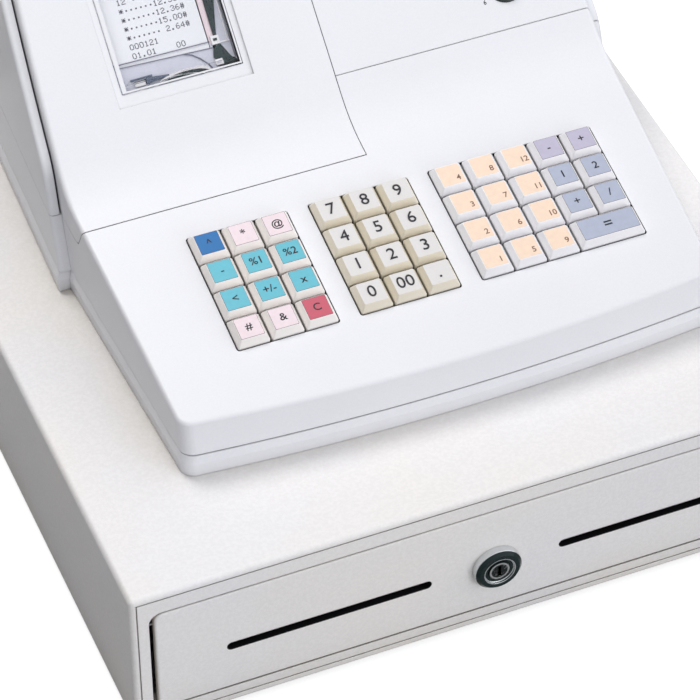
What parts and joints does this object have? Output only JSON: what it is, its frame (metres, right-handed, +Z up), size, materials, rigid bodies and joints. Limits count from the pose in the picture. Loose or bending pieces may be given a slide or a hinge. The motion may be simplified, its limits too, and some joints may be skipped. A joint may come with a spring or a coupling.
{
  "type": "electronic cash register",
  "caption": "Counter register with a sloping key deck, printer under a hinged cover, mode switch, and a wide steel cash drawer with lock and slip slots",
  "frame": {"origin": "middle of the footprint on the counter, the lock face included", "axes": "+Z up, +Y to the back, +X to the operator's right"},
  "size_m": [0.41, 0.431, 0.262],
  "materials": {
    "drawer_paint": "satin powder coat",
    "foot_rubber": "matt",
    "tray_steel": "zinc plated",
    "till_plastic": "grained",
    "lock_chrome": "polished",
    "plug_chrome": "satin",
    "case_plastic": "fine grain",
    "window_clear": "clear",
    "printer_plastic": "matt",
    "paper": "paper",
    "spool_plastic": "matt",
    "switch_plastic": "gloss",
    "key_cream": "satin",
    "key_beige": "satin",
    "key_white": "satin"
  },
  "bodies": {
    "housing": {"drawer_cabinet": "drawer_paint", "rubber_feet": "foot_rubber", "bottom_tray": "case_plastic", "keyboard_case": "case_plastic", "upper_case": "case_plastic", "printer_unit": "printer_plastic", "paper_web": "paper"},
    "drawer": {"drawer_front": "drawer_paint", "drawer_tray": "tray_steel", "till_insert": "till_plastic", "lock_barrel": "lock_chrome"},
    "cover": {"printer_cover": "case_plastic", "cover_window": "window_clear"},
    "lock": {"lock_plug": "plug_chrome"},
    "mode": {"mode_switch": "switch_plastic"},
    "roll": {"paper_roll": "paper"},
    "spool": {"takeup_spool": "spool_plastic"},
    "key_function_41": {"key_function_41": "key_cream"},
    "key_function_42": {"key_function_42": "key_cream"},
    "key_function_43": {"key_function_43": "key_cream"},
    "key_function_31": {"key_function_31": "key_cream"},
    "key_function_32": {"key_function_32": "key_cream"},
    "key_function_33": {"key_function_33": "key_cream"},
    "key_function_21": {"key_function_21": "key_cream"},
    "key_function_22": {"key_function_22": "key_cream"},
    "key_function_23": {"key_function_23": "key_cream"},
    "key_function_11": {"key_function_11": "key_cream"},
    "key_function_12": {"key_function_12": "key_cream"},
    "key_function_13": {"key_function_13": "key_cream"},
    "key_number_41": {"key_number_41": "key_beige"},
    "key_number_42": {"key_number_42": "key_beige"},
    "key_number_43": {"key_number_43": "key_beige"},
    "key_number_31": {"key_number_31": "key_beige"},
    "key_number_32": {"key_number_32": "key_beige"},
    "key_number_33": {"key_number_33": "key_beige"},
    "key_number_21": {"key_number_21": "key_beige"},
    "key_number_22": {"key_number_22": "key_beige"},
    "key_number_23": {"key_number_23": "key_beige"},
    "key_number_11": {"key_number_11": "key_beige"},
    "key_number_12": {"key_number_12": "key_beige"},
    "key_number_13": {"key_number_13": "key_beige"},
    "key_department_41": {"key_department_41": "key_white"},
    "key_department_42": {"key_department_42": "key_white"},
    "key_department_43": {"key_department_43": "key_white"},
    "key_department_44": {"key_department_44": "key_white"},
    "key_department_31": {"key_department_31": "key_white"},
    "key_department_32": {"key_department_32": "key_white"},
    "key_department_33": {"key_department_33": "key_white"},
    "key_department_34": {"key_department_34": "key_white"},
    "key_department_35": {"key_department_35": "key_white"},
    "key_department_21": {"key_department_21": "key_white"},
    "key_department_22": {"key_department_22": "key_white"},
    "key_department_23": {"key_department_23": "key_white"},
    "key_department_24": {"key_department_24": "key_white"},
    "key_department_25": {"key_department_25": "key_white"},
    "key_department_11": {"key_department_11": "key_white"},
    "key_department_12": {"key_department_12": "key_white"},
    "key_department_13": {"key_department_13": "key_white"},
    "key_department_14": {"key_department_14": "key_white"},
    "key_department_15": {"key_department_15": "key_white"}
  },
  "joints": [
    {"name": "drawer_slide", "type": "slide", "parent": "housing", "child": "drawer", "axis": [0, -1, 0], "range_m": [0, 0.3]},
    {"name": "cover_hinge", "type": "hinge", "parent": "housing", "child": "cover", "pos_m": [0.008, 0.1501, 0.254], "axis": [-1, 0, 0], "range_deg": [0, 75]},
    {"name": "lock_turn", "type": "hinge", "parent": "drawer", "child": "lock", "pos_m": [0, -0.2095, 0.0448], "axis": [0, 1, 0], "range_deg": [0, 90]},
    {"name": "mode_turn", "type": "hinge", "parent": "housing", "child": "mode", "pos_m": [0.1235, 0.06462, 0.19848], "axis": [0, -0.6359, 0.7718], "range_deg": [-60, 120]},
    {"name": "roll_spin", "type": "hinge", "parent": "housing", "child": "roll", "pos_m": [0.008, 0.1101, 0.1473], "axis": [1, 0, 0], "continuous": true},
    {"name": "spool_spin", "type": "hinge", "parent": "housing", "child": "spool", "pos_m": [0.008, 0.1221, 0.21696], "axis": [1, 0, 0], "continuous": true},
    {"name": "key_function_41_press", "type": "slide", "parent": "housing", "child": "key_function_41", "axis": [0, 0.1985, -0.9801], "range_m": [0, 0.0035], "stiffness_N_per_m": 150, "springref_m": -0.002},
    {"name": "key_function_42_press", "type": "slide", "parent": "housing", "child": "key_function_42", "axis": [0, 0.1985, -0.9801], "range_m": [0, 0.0035], "stiffness_N_per_m": 150, "springref_m": -0.002},
    {"name": "key_function_43_press", "type": "slide", "parent": "housing", "child": "key_function_43", "axis": [0, 0.1985, -0.9801], "range_m": [0, 0.0035], "stiffness_N_per_m": 150, "springref_m": -0.002},
    {"name": "key_function_31_press", "type": "slide", "parent": "housing", "child": "key_function_31", "axis": [0, 0.1985, -0.9801], "range_m": [0, 0.0035], "stiffness_N_per_m": 150, "springref_m": -0.002},
    {"name": "key_function_32_press", "type": "slide", "parent": "housing", "child": "key_function_32", "axis": [0, 0.1985, -0.9801], "range_m": [0, 0.0035], "stiffness_N_per_m": 150, "springref_m": -0.002},
    {"name": "key_function_33_press", "type": "slide", "parent": "housing", "child": "key_function_33", "axis": [0, 0.1985, -0.9801], "range_m": [0, 0.0035], "stiffness_N_per_m": 150, "springref_m": -0.002},
    {"name": "key_function_21_press", "type": "slide", "parent": "housing", "child": "key_function_21", "axis": [0, 0.1985, -0.9801], "range_m": [0, 0.0035], "stiffness_N_per_m": 150, "springref_m": -0.002},
    {"name": "key_function_22_press", "type": "slide", "parent": "housing", "child": "key_function_22", "axis": [0, 0.1985, -0.9801], "range_m": [0, 0.0035], "stiffness_N_per_m": 150, "springref_m": -0.002},
    {"name": "key_function_23_press", "type": "slide", "parent": "housing", "child": "key_function_23", "axis": [0, 0.1985, -0.9801], "range_m": [0, 0.0035], "stiffness_N_per_m": 150, "springref_m": -0.002},
    {"name": "key_function_11_press", "type": "slide", "parent": "housing", "child": "key_function_11", "axis": [0, 0.1985, -0.9801], "range_m": [0, 0.0035], "stiffness_N_per_m": 150, "springref_m": -0.002},
    {"name": "key_function_12_press", "type": "slide", "parent": "housing", "child": "key_function_12", "axis": [0, 0.1985, -0.9801], "range_m": [0, 0.0035], "stiffness_N_per_m": 150, "springref_m": -0.002},
    {"name": "key_function_13_press", "type": "slide", "parent": "housing", "child": "key_function_13", "axis": [0, 0.1985, -0.9801], "range_m": [0, 0.0035], "stiffness_N_per_m": 150, "springref_m": -0.002},
    {"name": "key_number_41_press", "type": "slide", "parent": "housing", "child": "key_number_41", "axis": [0, 0.1985, -0.9801], "range_m": [0, 0.0035], "stiffness_N_per_m": 150, "springref_m": -0.002},
    {"name": "key_number_42_press", "type": "slide", "parent": "housing", "child": "key_number_42", "axis": [0, 0.1985, -0.9801], "range_m": [0, 0.0035], "stiffness_N_per_m": 150, "springref_m": -0.002},
    {"name": "key_number_43_press", "type": "slide", "parent": "housing", "child": "key_number_43", "axis": [0, 0.1985, -0.9801], "range_m": [0, 0.0035], "stiffness_N_per_m": 150, "springref_m": -0.002},
    {"name": "key_number_31_press", "type": "slide", "parent": "housing", "child": "key_number_31", "axis": [0, 0.1985, -0.9801], "range_m": [0, 0.0035], "stiffness_N_per_m": 150, "springref_m": -0.002},
    {"name": "key_number_32_press", "type": "slide", "parent": "housing", "child": "key_number_32", "axis": [0, 0.1985, -0.9801], "range_m": [0, 0.0035], "stiffness_N_per_m": 150, "springref_m": -0.002},
    {"name": "key_number_33_press", "type": "slide", "parent": "housing", "child": "key_number_33", "axis": [0, 0.1985, -0.9801], "range_m": [0, 0.0035], "stiffness_N_per_m": 150, "springref_m": -0.002},
    {"name": "key_number_21_press", "type": "slide", "parent": "housing", "child": "key_number_21", "axis": [0, 0.1985, -0.9801], "range_m": [0, 0.0035], "stiffness_N_per_m": 150, "springref_m": -0.002},
    {"name": "key_number_22_press", "type": "slide", "parent": "housing", "child": "key_number_22", "axis": [0, 0.1985, -0.9801], "range_m": [0, 0.0035], "stiffness_N_per_m": 150, "springref_m": -0.002},
    {"name": "key_number_23_press", "type": "slide", "parent": "housing", "child": "key_number_23", "axis": [0, 0.1985, -0.9801], "range_m": [0, 0.0035], "stiffness_N_per_m": 150, "springref_m": -0.002},
    {"name": "key_number_11_press", "type": "slide", "parent": "housing", "child": "key_number_11", "axis": [0, 0.1985, -0.9801], "range_m": [0, 0.0035], "stiffness_N_per_m": 150, "springref_m": -0.002},
    {"name": "key_number_12_press", "type": "slide", "parent": "housing", "child": "key_number_12", "axis": [0, 0.1985, -0.9801], "range_m": [0, 0.0035], "stiffness_N_per_m": 150, "springref_m": -0.002},
    {"name": "key_number_13_press", "type": "slide", "parent": "housing", "child": "key_number_13", "axis": [0, 0.1985, -0.9801], "range_m": [0, 0.0035], "stiffness_N_per_m": 150, "springref_m": -0.002},
    {"name": "key_department_41_press", "type": "slide", "parent": "housing", "child": "key_department_41", "axis": [0, 0.1985, -0.9801], "range_m": [0, 0.0035], "stiffness_N_per_m": 150, "springref_m": -0.002},
    {"name": "key_department_42_press", "type": "slide", "parent": "housing", "child": "key_department_42", "axis": [0, 0.1985, -0.9801], "range_m": [0, 0.0035], "stiffness_N_per_m": 150, "springref_m": -0.002},
    {"name": "key_department_43_press", "type": "slide", "parent": "housing", "child": "key_department_43", "axis": [0, 0.1985, -0.9801], "range_m": [0, 0.0035], "stiffness_N_per_m": 150, "springref_m": -0.002},
    {"name": "key_department_44_press", "type": "slide", "parent": "housing", "child": "key_department_44", "axis": [0, 0.1985, -0.9801], "range_m": [0, 0.0035], "stiffness_N_per_m": 150, "springref_m": -0.002},
    {"name": "key_department_31_press", "type": "slide", "parent": "housing", "child": "key_department_31", "axis": [0, 0.1985, -0.9801], "range_m": [0, 0.0035], "stiffness_N_per_m": 150, "springref_m": -0.002},
    {"name": "key_department_32_press", "type": "slide", "parent": "housing", "child": "key_department_32", "axis": [0, 0.1985, -0.9801], "range_m": [0, 0.0035], "stiffness_N_per_m": 150, "springref_m": -0.002},
    {"name": "key_department_33_press", "type": "slide", "parent": "housing", "child": "key_department_33", "axis": [0, 0.1985, -0.9801], "range_m": [0, 0.0035], "stiffness_N_per_m": 150, "springref_m": -0.002},
    {"name": "key_department_34_press", "type": "slide", "parent": "housing", "child": "key_department_34", "axis": [0, 0.1985, -0.9801], "range_m": [0, 0.0035], "stiffness_N_per_m": 150, "springref_m": -0.002},
    {"name": "key_department_35_press", "type": "slide", "parent": "housing", "child": "key_department_35", "axis": [0, 0.1985, -0.9801], "range_m": [0, 0.0035], "stiffness_N_per_m": 150, "springref_m": -0.002},
    {"name": "key_department_21_press", "type": "slide", "parent": "housing", "child": "key_department_21", "axis": [0, 0.1985, -0.9801], "range_m": [0, 0.0035], "stiffness_N_per_m": 150, "springref_m": -0.002},
    {"name": "key_department_22_press", "type": "slide", "parent": "housing", "child": "key_department_22", "axis": [0, 0.1985, -0.9801], "range_m": [0, 0.0035], "stiffness_N_per_m": 150, "springref_m": -0.002},
    {"name": "key_department_23_press", "type": "slide", "parent": "housing", "child": "key_department_23", "axis": [0, 0.1985, -0.9801], "range_m": [0, 0.0035], "stiffness_N_per_m": 150, "springref_m": -0.002},
    {"name": "key_department_24_press", "type": "slide", "parent": "housing", "child": "key_department_24", "axis": [0, 0.1985, -0.9801], "range_m": [0, 0.0035], "stiffness_N_per_m": 150, "springref_m": -0.002},
    {"name": "key_department_25_press", "type": "slide", "parent": "housing", "child": "key_department_25", "axis": [0, 0.1985, -0.9801], "range_m": [0, 0.0035], "stiffness_N_per_m": 150, "springref_m": -0.002},
    {"name": "key_department_11_press", "type": "slide", "parent": "housing", "child": "key_department_11", "axis": [0, 0.1985, -0.9801], "range_m": [0, 0.0035], "stiffness_N_per_m": 150, "springref_m": -0.002},
    {"name": "key_department_12_press", "type": "slide", "parent": "housing", "child": "key_department_12", "axis": [0, 0.1985, -0.9801], "range_m": [0, 0.0035], "stiffness_N_per_m": 150, "springref_m": -0.002},
    {"name": "key_department_13_press", "type": "slide", "parent": "housing", "child": "key_department_13", "axis": [0, 0.1985, -0.9801], "range_m": [0, 0.0035], "stiffness_N_per_m": 150, "springref_m": -0.002},
    {"name": "key_department_14_press", "type": "slide", "parent": "housing", "child": "key_department_14", "axis": [0, 0.1985, -0.9801], "range_m": [0, 0.0035], "stiffness_N_per_m": 150, "springref_m": -0.002},
    {"name": "key_department_15_press", "type": "slide", "parent": "housing", "child": "key_department_15", "axis": [0, 0.1985, -0.9801], "range_m": [0, 0.0035], "stiffness_N_per_m": 150, "springref_m": -0.002}
  ],
  "couplings": [
    {"joint": "spool_spin", "follows": "roll_spin", "ratio": 2.5217}
  ]
}
